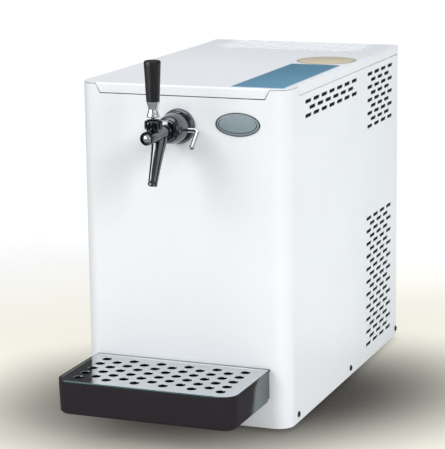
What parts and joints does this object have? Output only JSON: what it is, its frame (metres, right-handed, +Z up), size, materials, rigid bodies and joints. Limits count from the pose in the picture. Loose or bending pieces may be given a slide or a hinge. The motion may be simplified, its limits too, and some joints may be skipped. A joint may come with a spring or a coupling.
{
  "type": "countertop draft beer cooler",
  "caption": "White sheet-steel counter cooler with an iced water bath inside, a chrome flow-control tap, a lift-off drip tray with its grille and a lift-off top cover.",
  "frame": {"origin": "on the counter that the feet stand on, under the middle of the box around the whole cooler, tray and beer inlet included", "axes": "+Z up, the tap and the drip tray face -Y, and +X is on the right of someone who faces the front"},
  "size_m": [0.3244, 0.742, 0.547],
  "materials": {
    "white_enamel": "gloss",
    "zinc_sheet": "satin",
    "chrome_plate": "polished",
    "grille_steel": "polished",
    "stainless": "satin",
    "black_gloss": "gloss",
    "black_matte": "matte",
    "black_steel": "satin",
    "rubber_black": "matte",
    "badge_silver": "satin",
    "blue_label": "satin",
    "tan_label": "satin",
    "copper": "satin",
    "fin_aluminium": "satin",
    "liner_plastic": "satin",
    "foam": "matte",
    "line_tube": "satin",
    "red_rocker": "gloss"
  },
  "bodies": {
    "cabinet": {"feet": "rubber_black", "base_pan": "zinc_sheet", "front_panel": "white_enamel", "left_side_panel": "white_enamel", "right_side_panel": "white_enamel", "back_panel": "white_enamel", "badge": "badge_silver", "case_screws": "black_steel", "back_screws": "black_steel", "tap_flange": "chrome_plate", "tap_bell": "chrome_plate", "tap_shank": "chrome_plate", "shank_washer": "rubber_black", "shank_nut": "chrome_plate", "tap_body": "chrome_plate", "tap_end_cap": "chrome_plate", "tap_spout": "chrome_plate", "collar_nut": "chrome_plate", "lever_pin": "chrome_plate", "tray_rail": "zinc_sheet", "tank_foam": "foam", "tank_liner": "liner_plastic", "beer_coil": "stainless", "evaporator_coil": "copper", "stir_bridge": "zinc_sheet", "stir_motor": "black_matte", "compressor": "black_steel", "compressor_grommets": "rubber_black", "compressor_bolts": "stainless", "terminal_box": "black_matte", "condenser": "fin_aluminium", "fan_shroud": "black_matte", "fan_bracket": "zinc_sheet", "fan_motor": "black_matte", "filter_drier": "copper", "discharge_pipe": "copper", "liquid_pipe": "copper", "capillary_pipe": "copper", "suction_pipe": "copper", "thermostat": "black_matte", "switch_housing": "black_matte", "power_inlet": "black_matte", "beer_inlet": "stainless", "beer_line_in": "line_tube", "beer_line_out": "line_tube"},
    "lid": {"top_cover": "white_enamel", "info_plate": "blue_label", "round_plate": "tan_label"},
    "tap_lever": {"lever_stem": "chrome_plate", "handle_ferrule": "chrome_plate", "tap_handle": "black_gloss"},
    "plunger": {"valve_plunger": "stainless"},
    "flow_control": {"flow_lever": "chrome_plate"},
    "cone": {"flow_cone": "stainless"},
    "tray": {"drip_tray": "black_gloss"},
    "grille": {"drip_grille": "grille_steel"},
    "agitator": {"stir_impeller": "stainless"},
    "fan": {"fan_blade": "fin_aluminium"},
    "knob": {"thermostat_knob": "black_matte"},
    "rocker": {"switch_rocker": "red_rocker"}
  },
  "joints": [
    {"name": "lid_lift", "type": "slide", "parent": "cabinet", "child": "lid", "axis": [0, 0, 1], "range_m": [0, 0.15]},
    {"name": "tap_pull", "type": "hinge", "parent": "cabinet", "child": "tap_lever", "pos_m": [-0.004, -0.312, 0.456], "axis": [1, 0, 0], "range_deg": [-8, 25]},
    {"name": "plunger_slide", "type": "slide", "parent": "cabinet", "child": "plunger", "axis": [0, 1, 0], "range_m": [-0.0017, 0.0051]},
    {"name": "flow_turn", "type": "hinge", "parent": "cabinet", "child": "flow_control", "pos_m": [-0.004, -0.24, 0.44], "axis": [1, 0, 0], "range_deg": [-45, 45]},
    {"name": "cone_slide", "type": "slide", "parent": "cabinet", "child": "cone", "axis": [0, -1, 0], "range_m": [-0.0024, 0.0024]},
    {"name": "tray_lift", "type": "slide", "parent": "cabinet", "child": "tray", "axis": [0, 0, 1], "range_m": [0, 0.12]},
    {"name": "grille_lift", "type": "slide", "parent": "tray", "child": "grille", "axis": [0, 0, 1], "range_m": [0, 0.06]},
    {"name": "agitator_spin", "type": "hinge", "parent": "cabinet", "child": "agitator", "pos_m": [0, -0.0445, 0.2], "axis": [0, 0, 1], "continuous": true},
    {"name": "fan_spin", "type": "hinge", "parent": "cabinet", "child": "fan", "pos_m": [0.09, 0.22475, 0.1371], "axis": [1, 0, 0], "continuous": true},
    {"name": "knob_turn", "type": "hinge", "parent": "cabinet", "child": "knob", "pos_m": [0.08, 0.328, 0.4], "axis": [0, 1, 0], "range_deg": [-135, 135]},
    {"name": "rocker_tip", "type": "hinge", "parent": "cabinet", "child": "rocker", "pos_m": [0.025, 0.324, 0.4], "axis": [1, 0, 0], "range_deg": [-18, 0]}
  ],
  "couplings": [
    {"joint": "plunger_slide", "follows": "tap_pull", "m_per_rad": 0.0115},
    {"joint": "cone_slide", "follows": "flow_turn", "m_per_rad": 0.003}
  ]
}
